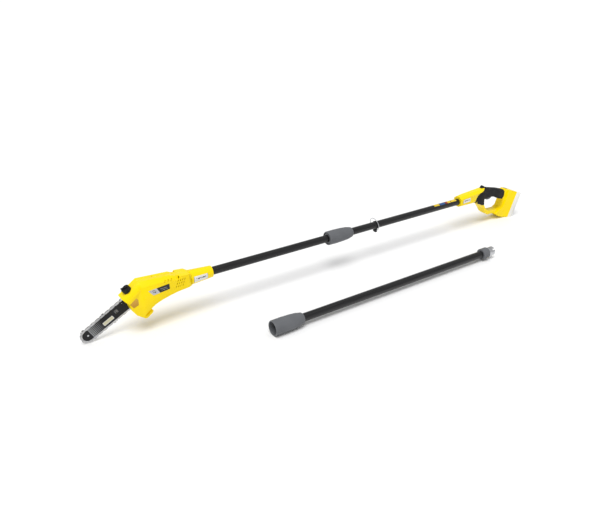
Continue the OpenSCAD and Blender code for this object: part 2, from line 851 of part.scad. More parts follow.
strap_x = mouth_x + 244;
band_t = 2;
ring_r = 26;
ring_wire_r = 1.3;
ring_pin_z = -tube_r - 7;
ring_lean = -15;
knob_z = ring_pin_z - 5.6;
clamp_bolt_r = 0.9;

// Band round the tube with two lugs below it
module strap_clamp() color("#18191b") pole_frame(strap_x) {
    difference() {
        union() {
            rod_x(-5, 5, tube_r + band_t);
            box([-5, -5, knob_z - 3], [5, 5, -tube_r + 1]);
        }
        rod_x(-6, 6, tube_r);
        box([-6, -1.2, knob_z - 4], [6, 1.2, -tube_r + 2]);
        translate([0, 0, ring_pin_z]) rod_y(-6, 6, ring_wire_r + run_gap);
        translate([0, 0, knob_z]) rod_y(-6, 6, clamp_bolt_r);
    }
}

module clamp_knob() color("#18191b") pole_frame(strap_x) translate([0, 0, knob_z])
    difference() {
        union() {
            rod_y(5.2, 12, 3.4);
            rod_y(-6.6, 5.2 + eps, clamp_bolt_r);
        }
        box([-6, 10, -0.6], [6, 13, 0.6]);
    }

// Wire ring that hangs in the clamp's lugs and stands round the tube
module strap_ring() color("silver") pole_frame(strap_x) translate([0, 0, ring_pin_z]) rotate([0, ring_lean, 0]) {
    translate([0, 0, ring_r + 1.2]) rotate([0, 90, 0]) difference() {
        rotate_extrude() translate([ring_r, 0]) circle(r = ring_wire_r, $fn = 24);
        translate([ring_r, 0, 0]) cube([8, 11.4, 8], center = true);
    }
    rod_y(-6.4, 6.4, ring_wire_r);
}

sticker_t = 0.3;

// A row of small stickers along the top of the tube
module tube_stickers() color("gold") pole_frame(handle_x) for (i = [0 : 3]) difference() {
    intersection() {
        rod_x(-150 + 34 * i, -120 + 34 * i, tube_r + sticker_t);
        box([-200, -9, 0], [0, 9, 40]);
    }
    rod_x(-200, 0, tube_r);
}

// ---------------------------------------------------------------- handle

module handle_frame() {
    translate([handle_x, pole_y, pole_h]) children();
}

barrel_w = tube_r + 8;
dock_plane_x = 357;
dock_h = pole_h - 24;
dock_top_x = dock_plane_x + dock_h * tan(dock_lean);
plate_t = 12;

// Side view of the grip and the barrel: along the top and back under the finger opening
handle_side = [
    [0, barrel_w + 2], [30, barrel_w + 6], [148, barrel_w + 14], [172, barrel_w + 13], [204, barrel_w + 5],
    [258, 15], [290, 5], [330, -8], [310, 14 - pole_h], [262, -112], [240, -99], [200, -99], [177, -84],
    [162, -62], [146, -42], [126, -29], [100, -barrel_w], [0, 2 - barrel_w],
];

// Side view of the battery housing
dock_side = [
    [dock_plane_x - 24, -pole_h], [300, 4 - pole_h], [272, -120], [250, -103], [297, -80], [323, -1],
    [dock_top_x, dock_h - pole_h], [dock_plane_x, -pole_h],
];

// Opening for the fingers
finger_hole = [
    [157, -14], [161, -42], [182, -68], [206, -83], [262, -86], [292, -86], [300, -44], [284, -38],
    [263, -33], [246, -24], [222, -15], [206, -13],
];

handle_half_plan = [[0, barrel_w - 1], [150, barrel_w], [185, grip_w], [340, grip_w]];
handle_plan = [
    for (p = handle_half_plan) p,
    for (i = [len(handle_half_plan) - 1 : -1 : 0]) [handle_half_plan[i][0], -handle_half_plan[i][1]],
];

// Top view of the battery housing, from its rear plane forwards
dock_plan = [
    [8, dock_w], [-14, dock_w], [-46, dock_w - 13], [-120, dock_w - 17],
    [-120, 17 - dock_w], [-46, 13 - dock_w], [-14, -dock_w], [8, -dock_w],
];

// The soft grip covers the handle inside this outline
grip_zone = [
    [90, -60], [92, -20], [101, 3], [108, 14], [123, 23], [147, 29], [165, 38], [190, 60], [262, 40],
    [299, 6], [300, -27], [290, -40], [270, -46], [200, -40], [163, -43], [116, -33],
];

top_slope = 5;

// The grip and barrel with their long edges sloped, set in by a distance on every side
module grip_solid(inset) {
    difference() {
        intersection() {
            plate(-60, 60) difference() {
                offset(delta = -inset) polygon(handle_side);
                offset(delta = inset) polygon(finger_hole);
            }
            translate([0, 0, -200]) linear_extrude(300) offset(delta = -inset) polygon(handle_plan);
        }
        for (side = [-1, 1]) {
            for (i = [0 : 2]) edge_slope(handle_side[i], handle_side[i + 1], -side * barrel_w, 8 + inset, side);
            edge_slope(handle_side[16], handle_side[17], -side * barrel_w, 7 + inset, side);
            for (i = [3 : 5])
                edge_slope(handle_side[i], handle_side[i + 1], -side * grip_w, top_slope + inset, side);
        }
    }
}

module dock_solid(inset) {
    intersection() {
        plate(-60, 60) offset(delta = -inset) polygon(dock_side);
        translate([dock_plane_x, 0, -pole_h]) rotate([0, dock_lean, 0])
            translate([0, 0, -60]) linear_extrude(300) offset(delta = -inset) polygon(dock_plan);
    }
}

module handle_outer() {
    grip_solid(0);
    dock_solid(0);
}

// The handle set in by a distance on every side, and closed round the finger opening
module handle_inner(inset) {
    grip_solid(inset);
    dock_solid(inset);
}

module dock_frame() {
    handle_frame() translate([dock_plane_x, 0, -pole_h]) rotate([0, dock_lean, 0]) children();
}

module in_grip_zone() {
    intersection() {
        children();
        plate(-60, 60) polygon(grip_zone);
    }
}

button_x = [144, 166];
button_w = 7;
trigger_w = 6;
trigger_pivot = [236, -4];
trigger_pin_r = 2;
case_screws = [[112, -13], [132, 18], [270, -4], [286, -106], [330, -30]];
core_wall = 2.4;

// Both halves of the handle before they are parted
module handle_casing() {
    difference() {
        union() {
            difference() {
                handle_outer();
                plate(-60, 60) polygon(grip_zone);
            }
            in_grip_zone() handle_inner(grip_t);
        }
        handle_inner(grip_t + core_wall);
        rod_x(-1, rear_end - handle_x + eps, tube_r);
        // openings for the button and the trigger
        box([button_x[0] - loose_gap, -button_w - loose_gap, 0], [button_x[1] + loose_gap, button_w + loose_gap, 60]);
        box([184, -trigger_w - loose_gap, -40], [243, trigger_w + loose_gap, -6]);
        // the dock plate closes the rear
        translate([dock_plane_x, 0, -pole_h]) rotate([0, dock_lean, 0])
            box([-plate_t, -60, -30], [60, 60, 200]);
    }
    intersection() {
        handle_inner(grip_t);
        union() {
            for (x = [24, 70]) difference() {
                box([x, -60, -60], [x + 3, 60, 60]);
                rod_x(0, 100, tube_r);
            }
            for (p = case_screws) translate([p[0], 0, p[1]]) rod_y(-60, 60, boss_r);
        }
    }
}

module case_screw_holes() {
    for (p = case_screws) translate([p[0], 0, p[1]]) {
        rod_y(-13, 60, screw_r + 0.05);
        rod_y(case_screw_y, 60, screw_r + 1.5);
    }
}

case_screw_y = 10;

module handle_shell_near() color("gold") handle_frame() difference() {
    intersection() {
        handle_casing();
        box([-far, -60, -far], [2 * far, 0, far]);
    }
    case_screw_holes();
    trigger_pin_hole();
}

module handle_shell_far() color("gold") handle_frame() difference() {
    intersection() {
        handle_casing();
        box([-far, 0, -far], [2 * far, 60, far]);
    }
    case_screw_holes();
    trigger_pin_hole();
}

module trigger_pin_hole() {
    translate([trigger_pivot[0], 0, trigger_pivot[1]]) rod_y(-14, 14, trigger_pin_r);
}

module handle_screws() color("dimgray") handle_frame() for (p = case_screws) translate([p[0], 0, p[1]]) {
    rod_y(-12, case_screw_y + eps, screw_r);
    difference() {
        rod_y(case_screw_y, case_screw_y + 2, screw_r + 1.3);
        rod_y(case_screw_y + 1, case_screw_y + 3, 1);
    }
}

module soft_grip() color("#232326") handle_frame() difference() {
    in_grip_zone() handle_outer();
    handle_inner(grip_t);
    box([button_x[0] - 3, -button_w - 2, 0], [button_x[1] + 1.5, button_w + 2, 60]);
    box([184, -trigger_w - loose_gap, -40], [228, trigger_w + loose_gap, -10]);
}

// Trigger lever: a finger pad below the grip and an arm up to its pivot
module trigger() color("dimgray") handle_frame() difference() {
    plate(-trigger_w, trigger_w) polygon([
        [186, -19], [192, -27], [206, -28.5], [220, -23], [227, -13], [241, -8], [241, 1], [231, 1],
        [222, -6], [206, -12], [187, -13.5],
    ]);
    translate([trigger_pivot[0], 0, trigger_pivot[1]]) rod_y(-20, 20, trigger_pin_r + 0.05);
}

module trigger_pin() color("silver") handle_frame()
    translate([trigger_pivot[0], 0, trigger_pivot[1]]) rod_y(-14, 14, trigger_pin_r);

// Lock-off button with a raised rib
module lock_button() color("#18191b") handle_frame() {
    plate(-button_w, button_w) polygon([
        [button_x[0], 27], [button_x[0], barrel_w + 15], [button_x[0] + 8, barrel_w + 23],
        [button_x[1] - 9, barrel_w + 23], [button_x[1], barrel_w + 15], [button_x[1], 27],
    ]);
    box([button_x[0] + 8, -2, 18], [button_x[1] - 8, 2, 27 + eps]);
}

module trigger_switch() color("#303236") handle_frame() {
    box([188, -9, -7], [208, 9, 9]);
    box([194, -3, -8.9], [202, 3, -7 + eps]);
}

module control_board() color("darkgreen") handle_frame() {
    box([330, -20, -114], [332, 20, -66]);
    for (z = [-104, -80]) translate([322, -8, z]) rod_x(0, 8 + eps, 5);
}

// Pocket, rails and floor that the battery slides onto
pocket = [[-8.5, -30, 10], [1, 30, 98]];

module dock_plate() color("#d8d8d6") {
    difference() {
        intersection() {
            handle_frame() handle_outer();
            dock_frame() box([-plate_t, -60, -30], [0, 60, 200]);
        }
        dock_frame() box(pocket[0], pocket[1]);
        dock_frame() box([-8.5, -33, 16], [-4.5, 33, 98]);
    }
}

module terminal_block() color("#202224") dock_frame() {
    difference() {
        box([-8.5, -18, 66], [-1.5, 18, 94]);
        for (i = [-1 : 1]) box([-7, i * 10 - 2.6, 65], [0, i * 10 + 2.6, 90]);
    }
    for (i = [-1 : 1]) box([-8.5, i * 10 - 0.4, 68], [-2.6, i * 10 + 0.4, 92]);
}

module handle_badge() color("white") handle_frame()
    translate([0, -barrel_w, 0]) plate(-0.6, 0.4) polygon([[13, -5], [15, 12], [58, 14], [60, -3]]);

// ---------------------------------------------------------------- extension

ext_x = tip_x + ext_setback;
ext_tail_x = ext_x + ext_l;

// A frame on the extension's axis, which lies on its sleeve and its collar
module ext_frame(x) {
    translate([x, ext_y, sleeve_r]) children();
}

ext_tube_end = ext_tail_x - plug_l - collar_l;

module extension_sleeve() color("gray") ext_frame(ext_x) sleeve_body();

module extension_receiver() color("#303236") ext_frame(ext_x + plug_depth + 1) receiver_body();

module extension_tube() color("#18191b") ext_frame(0)
    tube_x(ext_x + plug_depth + 1 + flange_l, ext_tube_end + collar_l - 8, tube_r, tube_bore_r);

module extension_collar() color("gray") ext_frame(ext_tube_end) collar_body();

module extension_plug() color("silver") ext_frame(ext_tube_end + collar_l) plug_body();

module extension_cable() color("black") ext_frame(0)
    rod_x(ext_x + plug_depth + 1 + flange_l + 4, ext_tube_end + collar_l + 6, cable_r);

head_shell_near();
head_shell_far();
sprocket_cover();
bar_nut();
bar_stud();
guide_bar();
nose_sprocket();
saw_chain();
drive_sprocket();
output_shaft();
crown_gear();
shaft_bearings();
gear_case();
motor_can();
motor_rotor();
motor_pinion();
brush_holder();
cooling_fan();
oil_tank();
oil_window();
oil_cap();
oil_pump();
oil_hose();
tension_screw();
tension_block();
branch_hook();
head_screws();
head_label();
head_badge();
front_tube();
front_collar();
front_plug();
front_cable();
coupling_sleeve();
rear_tube();
rear_receiver();
rear_cable();
strap_clamp();
clamp_knob();
strap_ring();
tube_stickers();
handle_shell_near();
handle_shell_far();
soft_grip();
trigger();
trigger_pin();
lock_button();
trigger_switch();
control_board();
terminal_block();
dock_plate();
handle_screws();
handle_badge();
extension_tube();
extension_sleeve();
extension_collar();
extension_plug();
extension_receiver();
extension_cable();
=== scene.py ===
import json
import math

import bmesh
import bpy
from mathutils import Matrix, Vector


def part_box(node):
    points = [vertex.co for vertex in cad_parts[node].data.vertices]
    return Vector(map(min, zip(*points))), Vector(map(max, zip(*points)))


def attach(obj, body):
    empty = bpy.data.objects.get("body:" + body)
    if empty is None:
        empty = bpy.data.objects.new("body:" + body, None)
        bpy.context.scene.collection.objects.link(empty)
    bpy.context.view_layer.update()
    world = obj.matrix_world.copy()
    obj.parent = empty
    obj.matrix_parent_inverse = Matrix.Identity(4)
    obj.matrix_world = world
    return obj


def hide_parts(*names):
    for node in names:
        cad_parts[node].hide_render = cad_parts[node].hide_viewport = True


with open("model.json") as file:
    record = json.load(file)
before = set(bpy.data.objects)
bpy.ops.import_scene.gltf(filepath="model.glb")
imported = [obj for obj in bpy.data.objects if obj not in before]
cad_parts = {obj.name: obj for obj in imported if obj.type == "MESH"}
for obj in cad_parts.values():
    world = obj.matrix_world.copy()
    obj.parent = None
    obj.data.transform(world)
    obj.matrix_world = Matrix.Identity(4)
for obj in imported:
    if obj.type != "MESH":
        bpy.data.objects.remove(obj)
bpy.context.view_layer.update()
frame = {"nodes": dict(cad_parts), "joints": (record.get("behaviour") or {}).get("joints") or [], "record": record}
record = frame["record"]
nodes = frame["nodes"]
joints = {joint["name"]: joint for joint in frame["joints"]}

MM = 0.001
scene = bpy.context.scene


# ------------------------------------------------------------------ places from the frame

def joint_place(name):
    return Vector(joints[name]["pos_m"])


def joint_axis(name):
    return Vector(joints[name]["axis"]).normalized()


POLE_AXIS = joint_place("coupling_turn")
POLE_Y = POLE_AXIS.y
POLE_Z = POLE_AXIS.z
SPROCKET = joint_place("output_spin")
NOSE = joint_place("nose_spin")
BAR_X = joint_axis("bar_tension")
BAR_LEAN = math.atan2(BAR_X.z, BAR_X.x)
BAR_REACH = Vector((SPROCKET.x - NOSE.x, 0, SPROCKET.z - NOSE.z)).length
HEAD_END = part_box("head_shell_near")[1].x


# ------------------------------------------------------------------ node helpers

# A colour mix's sockets by number, because their names repeat for each type of data
MIX_SHARE = 0
MIX_FIRST = 6
MIX_SECOND = 7
MIX_COLOR = 2


class Graph:
    """A material with a Principled shader, and short calls that add nodes to it."""

    def __init__(self, name, color, roughness, metallic=0.0):
        self.material = bpy.data.materials.new(name)
        self.material.use_nodes = True
        self.tree = self.material.node_tree
        self.shader = self.tree.nodes["Principled BSDF"]
        self.set("Base Color", (*color, 1))
        self.set("Roughness", roughness)
        self.set("Metallic", metallic)
        self.set("Specular IOR Level", 0.5 if metallic else 0.16)

    def set(self, socket, value):
        self.shader.inputs[socket].default_value = value

    def add(self, kind, **settings):
        node = self.tree.nodes.new(kind)
        for key, value in settings.items():
            setattr(node, key, value)
        return node

    def link(self, source, target):
        self.tree.links.new(source, target)

    def place(self):
        """Where a point is in the row frame, in metres."""
        return self.add("ShaderNodeTexCoord").outputs["Object"]

    def framed(self, origin, lean=0.0, stretch=(1, 1, 1)):
        """Where a point is from an origin, in axes that lean about Y."""
        mapping = self.add("ShaderNodeMapping", vector_type="TEXTURE")
        mapping.inputs["Location"].default_value = origin
        mapping.inputs["Rotation"].default_value = (0, -lean, 0)
        mapping.inputs["Scale"].default_value = stretch
        self.link(self.place(), mapping.inputs["Vector"])
        return mapping.outputs["Vector"]

    def parts(self, vector):
        node = self.add("ShaderNodeSeparateXYZ")
        self.link(vector, node.inputs[0])
        return node.outputs

    def math(self, operation, first, second=0.0, third=0.0):
        node = self.add("ShaderNodeMath", operation=operation)
        for socket, value in zip(node.inputs, (first, second, third)):
            if isinstance(value, (int, float)):
                socket.default_value = value
            else:
                self.link(value, socket)
        return node.outputs[0]

    def within(self, value, low, high):
        """1 where the value lies between two limits."""
        above = self.math("GREATER_THAN", value, low)
        return self.math("MULTIPLY", above, self.math("LESS_THAN", value, high))

    def noise(self, scale, detail=3.0, stretch=None):
        node = self.add("ShaderNodeTexNoise")
        node.inputs["Scale"].default_value = scale
        node.inputs["Detail"].default_value = detail
        if stretch:
            source = self.framed((0, 0, 0), 0.0, tuple(1 / s for s in stretch))
        else:
            source = self.place()
        self.link(source, node.inputs["Vector"])
        return node.outputs["Fac"]

    def ramp(self, value, low, high, start=0.0, end=1.0):
        node = self.add("ShaderNodeMapRange")
        self.link(value, node.inputs["Value"])
        for socket, number in zip(("From Min", "From Max", "To Min", "To Max"), (low, high, start, end)):
            node.inputs[socket].default_value = number
        return node.outputs["Result"]

    def mix(self, share, first, second):
        node = self.add("ShaderNodeMix", data_type="RGBA")
        for number, value in ((MIX_SHARE, share), (MIX_FIRST, first), (MIX_SECOND, second)):
            socket = node.inputs[number]
            if isinstance(value, tuple):
                socket.default_value = (*value, 1)
            elif isinstance(value, (int, float)):
                socket.default_value = value
            else:
                self.link(value, socket)
        return node.outputs[MIX_COLOR]

    def paint(self, color):
        self.link(color, self.shader.inputs["Base Color"])

    def rough(self, value):
        self.link(value, self.shader.inputs["Roughness"])

    def bump(self, height, strength, distance):
        node = self.add("ShaderNodeBump")
        node.inputs["Strength"].default_value = strength
        node.inputs["Distance"].default_value = distance
        self.link(height, node.inputs["Height"])
        normal = self.shader.inputs["Normal"]
        if normal.links:
            self.link(normal.links[0].from_socket, node.inputs["Normal"])
        self.link(node.outputs["Normal"], normal)

    def varied(self, base, scale, amount, stretch=None):
        """The colour, a little lighter and darker in soft patches."""
        patch = self.ramp(self.noise(scale, 3, stretch=stretch), 0.3, 0.7)
        darker = tuple(c * (1 - amount) for c in base)
        lighter = tuple(min(1, c * (1 + amount)) for c in base)
        return self.mix(patch, darker, lighter)

    def worn(self, color, edge_color, amount):
        """The colour, rubbed lighter along outer edges."""
        edge = self.ramp(self.add("ShaderNodeNewGeometry").outputs["Pointiness"], 0.52, 0.6, 0, amount)
        broken = self.ramp(self.noise(220, 4), 0.42, 0.62)
        return self.mix(self.math("MULTIPLY", edge, broken), color, edge_color)


# ------------------------------------------------------------------ materials

YELLOW = (1.0, 0.735, 0.0)
GREY = (0.135, 0.14, 0.15)
BLACK = (0.006, 0.006, 0.0065)
STEEL = (0.56, 0.57, 0.59)


def yellow_plastic():
    graph = Graph("yellow_plastic", YELLOW, 0.3)
    graph.set("Specular IOR Level", 0.22)
    base = graph.varied(YELLOW, 9, 0.02)
    graph.paint(graph.worn(base, (1.0, 0.82, 0.08), 0.1))
    graph.rough(graph.ramp(graph.noise(35, 5), 0.3, 0.7, 0.24, 0.36))
    graph.bump(graph.noise(2600, 3), 0.04, 0.0001)
    return graph.material


def tube_lacquer():
    graph = Graph("tube_lacquer", BLACK, 0.3)
    graph.set("Specular IOR Level", 0.4)
    streaks = graph.noise(260, 4, stretch=(0.04, 1, 1))
    graph.paint(graph.mix(graph.ramp(streaks, 0.35, 0.7, 0, 0.5), BLACK, (0.02, 0.02, 0.022)))
    graph.rough(graph.ramp(streaks, 0.3, 0.7, 0.24, 0.4))
    graph.bump(streaks, 0.05, 0.0001)
    return graph.material


def moulded(name, color, roughness, grain, depth, wear=(0.35, 0.35, 0.36), rub=0.25):
    """Matte plastic with a sparked grain."""
    graph = Graph(name, color, roughness)
    base = graph.varied(color, 14, 0.1)
    graph.paint(graph.worn(base, wear, rub))
    graph.rough(graph.ramp(graph.noise(60, 4), 0.3, 0.7, roughness - 0.06, roughness + 0.08))
    graph.bump(graph.noise(grain, 4), depth, 0.0002)
    return graph.material


def soft_rubber():
    """Black rubber with a small pebbled grain."""
    color = (0.014, 0.014, 0.015)
    graph = Graph("soft_rubber", color, 0.62)
    graph.paint(graph.varied(color, 22, 0.22))
    cells = graph.add("ShaderNodeTexVoronoi", feature="SMOOTH_F1")
    cells.inputs["Scale"].default_value = 900
    graph.link(graph.place(), cells.inputs["Vector"])
    graph.rough(graph.ramp(graph.noise(50, 4), 0.3, 0.7, 0.55, 0.72))
    graph.bump(cells.outputs["Distance"], 0.15, 0.0002)
    return graph.material


def metal(name, color, roughness, stretch=(1, 1, 1), dark=(0.2, 0.2, 0.21), soiled=0.35):
    """Metal with fine tool marks and dull patches."""
    graph = Graph(name, color, roughness, 1.0)
    marks = graph.noise(700, 4, stretch=stretch)
    patch = graph.ramp(graph.noise(45, 4), 0.45, 0.75, 0, soiled)
    graph.paint(graph.mix(patch, graph.varied(color, 30, 0.08), dark))
    graph.rough(graph.ramp(marks, 0.3, 0.7, roughness - 0.08, roughness + 0.12))
    graph.bump(marks, 0.12, 0.0001)
    return graph.material


WINDOW_LINE_PITCH = 2.4 * MM


def amber_window():
    """Amber plastic, lighter towards the top, with fine level lines."""
    graph = Graph("amber_window", (0.62, 0.33, 0.02), 0.22)
    graph.set("Coat Weight", 0.4)
    graph.set("Subsurface Weight", 0.3)
    graph.set("Subsurface Scale", 0.003)
    height = graph.parts(graph.place())[2]
    low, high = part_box("oil_window")
    level = graph.ramp(height, low.z, high.z)
    graph.paint(graph.mix(level, (0.5, 0.25, 0.015), (0.72, 0.42, 0.05)))
    lines = graph.math("PINGPONG", graph.math("MULTIPLY", height, 1 / WINDOW_LINE_PITCH), 1.0)
    graph.bump(graph.math("ADD", graph.noise(900, 3), graph.math("MULTIPLY", lines, 0.4)), 0.2, 0.0002)
    return graph.material


BAR_BLACK = (0.016, 0.016, 0.018)
DOT_CELL = 5 * MM
# Distances back along the bar from the nose wheel's centre
DOT_FADE_START = 8 * MM
DOT_FADE_END = 60 * MM
DOT_CLEAR_OF_NOSE = 9 * MM
# Limits along and across the bar from the drive sprocket's centre
PANEL_ALONG = (-BAR_REACH + 56 * MM, -BAR_REACH + 94 * MM)
PANEL_ACROSS = (-12 * MM, 1 * MM)
PANEL_MARGIN = 3 * MM
PANEL_RIM = 1.4 * MM
MARK_ALONG = (PANEL_ALONG[1] + 12 * MM, PANEL_ALONG[1] + 24 * MM)
MARK_ACROSS = (-2 * MM, 9 * MM)
MARK_PITCH = 1.7 * MM


def printed_box(graph, along, across, grow=0.0):
    """1 inside the bar's panel, which is made larger or smaller all round."""
    return graph.math("MULTIPLY", graph.within(along, PANEL_ALONG[0] - grow, PANEL_ALONG[1] + grow),
                      graph.within(across, PANEL_ACROSS[0] - grow, PANEL_ACROSS[1] + grow))


def bar_halftone(graph, along, across):
    """Dots that fade out from the nose towards the panel."""
    dots = 1.0
    for line in (along, across):
        wave = graph.math("SINE", graph.math("MULTIPLY", line, math.pi / DOT_CELL))
        dots = graph.math("MULTIPLY", graph.math("ABSOLUTE", wave), dots)
    fade = graph.ramp(along, -BAR_REACH + DOT_FADE_START, -BAR_REACH + DOT_FADE_END, 0.3, 1.02)
    halftone = graph.math("GREATER_THAN", dots, fade)
    return graph.math("MULTIPLY", halftone, graph.math("GREATER_THAN", along, -BAR_REACH + DOT_CLEAR_OF_NOSE))


def bar_marks(graph, along, across):
    """Broken light lines behind the panel, with no letters."""
    stripe = graph.math("PINGPONG", graph.math("MULTIPLY", across, 1 / MARK_PITCH), 1.0)
    field = graph.math("MULTIPLY", graph.within(along, *MARK_ALONG), graph.within(across, *MARK_ACROSS))
    marks = graph.math("MULTIPLY", graph.math("GREATER_THAN", stripe, 0.55), field)
    broken = graph.math("GREATER_THAN", graph.noise(620, 1), 0.47)
    return graph.math("MULTIPLY", marks, broken)


def bar_print():
    """Black printed bar: silver halftone at the nose, a pale panel and fine light lines."""
    graph = Graph("bar_print", BAR_BLACK, 0.34)
    place = graph.parts(graph.framed(tuple(SPROCKET), BAR_LEAN))
    along, across = place[0], place[2]
    halftone = bar_halftone(graph, along, across)
    color = graph.mix(halftone, graph.varied(BAR_BLACK, 40, 0.2), (0.4, 0.41, 0.42))
    color = graph.mix(printed_box(graph, along, across, PANEL_MARGIN), color, (0.012, 0.012, 0.013))
    color = graph.mix(printed_box(graph, along, across), color, (0.75, 0.75, 0.74))
    color = graph.mix(printed_box(graph, along, across, -PANEL_RIM), color, (0.6, 0.57, 0.4))
    color = graph.mix(bar_marks(graph, along, across), color, (0.4, 0.4, 0.41))
    graph.paint(color)
    scratch = graph.noise(500, 5, stretch=(0.05, 1, 1))
    graph.rough(graph.ramp(scratch, 0.3, 0.7, 0.26, 0.46))
    graph.bump(scratch, 0.08, 0.0001)
    return graph.material


# Shares are of the label's length, and heights are from its middle
STICKER_SLANT = 0.55
BLACK_SHARE = 0.46
BAR_SHARES = (0.58, 0.88)
BAR_HEIGHTS = ((2.2 * MM, 4.0 * MM), (-3.2 * MM, -1.4 * MM))
PATCH_SHARES = (0.2, 0.38)
PATCH_HEIGHTS = (-5 * MM, 5 * MM)


def head_sticker():
    """Two-part sticker: silver in front and black behind, with plain light bars."""
    low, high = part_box("head_label")
    span = high.x - low.x
    graph = Graph("head_sticker", (0.5, 0.5, 0.52), 0.35)
    graph.set("Coat Weight", 0.4)
    place = graph.parts(graph.framed((low.x, low.y, (low.z + high.z) / 2)))
    slant = graph.math("ADD", place[0], graph.math("MULTIPLY", place[2], STICKER_SLANT))
    black = graph.math("GREATER_THAN", slant, span * BLACK_SHARE)
    silver = graph.varied((0.52, 0.52, 0.54), 60, 0.12)
    color = graph.mix(black, silver, (0.012, 0.012, 0.013))
    stripe = graph.math("ADD", *(graph.within(place[2], *height) for height in BAR_HEIGHTS))
    bars = graph.math("MULTIPLY", stripe, graph.within(slant, *(span * share for share in BAR_SHARES)))
    bars = graph.math("MULTIPLY", bars, graph.ramp(graph.noise(900, 2), 0.35, 0.6))
    color = graph.mix(bars, color, (0.45, 0.45, 0.46))
    patch = graph.within(slant, *(span * share for share in PATCH_SHARES))
    patch = graph.math("MULTIPLY", patch, graph.within(place[2], *PATCH_HEIGHTS))
    patch = graph.math("MULTIPLY", patch, graph.math("GREATER_THAN", graph.noise(300, 1), 0.52))
    graph.paint(graph.mix(patch, color, (0.05, 0.05, 0.05)))
    graph.rough(graph.ramp(graph.noise(150, 3), 0.3, 0.7, 0.28, 0.42))
    graph.bump(graph.noise(1200, 2), 0.05, 0.0001)
    return graph.material


BADGE_WHITE = (0.78, 0.78, 0.77)
BADGE_BORDER = 1.5 * MM


def plain_badge(name, node):
    """White badge with grey ends and a plain dark bar."""
    low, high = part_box(node)
    middle = (low + high) / 2
    graph = Graph(name, BADGE_WHITE, 0.3)
    graph.set("Coat Weight", 0.3)
    place = graph.parts(graph.framed(tuple(middle)))
    half_x, half_z = (high.x - low.x) / 2, (high.z - low.z) / 2
    bar = graph.math("MULTIPLY", graph.within(place[0], -half_x * 0.72, half_x * 0.72),
                     graph.within(place[2], -half_z * 0.1, half_z * 0.42))
    bar = graph.math("MULTIPLY", bar, graph.ramp(graph.noise(260, 1), 0.4, 0.5))
    edge = graph.math("SUBTRACT", 1.0, graph.within(place[0], -half_x + BADGE_BORDER, half_x - BADGE_BORDER))
    color = graph.mix(bar, graph.varied(BADGE_WHITE, 70, 0.05), (0.1, 0.1, 0.11))
    graph.paint(graph.mix(edge, color, (0.35, 0.35, 0.36)))
    graph.bump(graph.noise(900, 2), 0.06, 0.0001)
    return graph.material


STICKER_YELLOW = (0.85, 0.6, 0.03)
DASH_PITCH = 3 * MM


def tube_sticker():
    """A row of small stickers, yellow with a blue one and a thin red one, crossed by dark dashes."""
    low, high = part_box("tube_stickers")
    graph = Graph("tube_sticker", (0.85, 0.62, 0.03), 0.35)
    graph.set("Coat Weight", 0.3)
    along = graph.parts(graph.place())[0]
    step = (high.x - low.x) / 4
    color = graph.mix(graph.within(along, low.x + step, low.x + 2 * step), STICKER_YELLOW, (0.03, 0.1, 0.3))
    color = graph.mix(graph.within(along, low.x + 2 * step, low.x + 2.4 * step), color, (0.35, 0.03, 0.02))
    dash = graph.math("PINGPONG", graph.math("MULTIPLY", along, 1 / DASH_PITCH), 1.0)
    dark = graph.math("MULTIPLY", graph.math("GREATER_THAN", dash, 0.72),
                      graph.math("GREATER_THAN", graph.noise(180, 1), 0.5))
    graph.paint(graph.mix(dark, color, (0.02, 0.02, 0.02)))
    graph.rough(graph.ramp(graph.noise(200, 3), 0.3, 0.7, 0.3, 0.42))
    graph.bump(graph.noise(900, 2), 0.05, 0.0001)
    return graph.material


TRACK_TURN = 2400


def circuit_board():
    """Green board with lighter tracks: TRACK_TURN is the pattern's turn in radians per metre."""
    graph = Graph("circuit_board", (0.02, 0.16, 0.06), 0.3)
    wave = graph.math("SINE", graph.math("MULTIPLY", graph.parts(graph.place())[1], TRACK_TURN))
    tracks = graph.math("GREATER_THAN", wave, 0.4)
    graph.paint(graph.mix(tracks, (0.015, 0.11, 0.04), (0.04, 0.24, 0.1)))
    graph.bump(graph.noise(800, 2), 0.1, 0.0001)
    return graph.material


MATERIALS = {
    "yellow": yellow_plastic(),
    "tube": tube_lacquer(),
    "grey": moulded("grey_nylon", GREY, 0.48, 1800, 0.08),
    "light": moulded("light_plastic", (0.8, 0.8, 0.77), 0.45, 1500, 0.08, (0.9, 0.9, 0.9)),
    "black": moulded("black_plastic", (0.01, 0.01, 0.011), 0.46, 1700, 0.1, (0.05, 0.05, 0.05)),
    "tank": moulded("milky_tank", (0.62, 0.58, 0.44), 0.4, 700, 0.15, (0.8, 0.78, 0.7)),
    "plug": metal("plug_alloy", (0.6, 0.61, 0.63), 0.34, (0.2, 1, 1)),
    "cast": metal("cast_alloy", (0.42, 0.43, 0.45), 0.45),
    "steel": metal("zinc_steel", STEEL, 0.28),
    "chain": metal("chain_steel", (0.5, 0.5, 0.51), 0.26, soiled=0.6),
    "copper": metal("copper", (0.7, 0.3, 0.12), 0.35),
    "rubber": soft_rubber(),
    "cable": moulded("cable_sheath", (0.02, 0.02, 0.02), 0.55, 900, 0.2),
    "amber": amber_window(),
    "bar": bar_print(),
    "head_sticker": head_sticker(),
    "head_badge": plain_badge("head_badge", "head_badge"),
    "handle_badge": plain_badge("handle_badge", "handle_badge"),
    "tube_sticker": tube_sticker(),
    "board": circuit_board(),
}

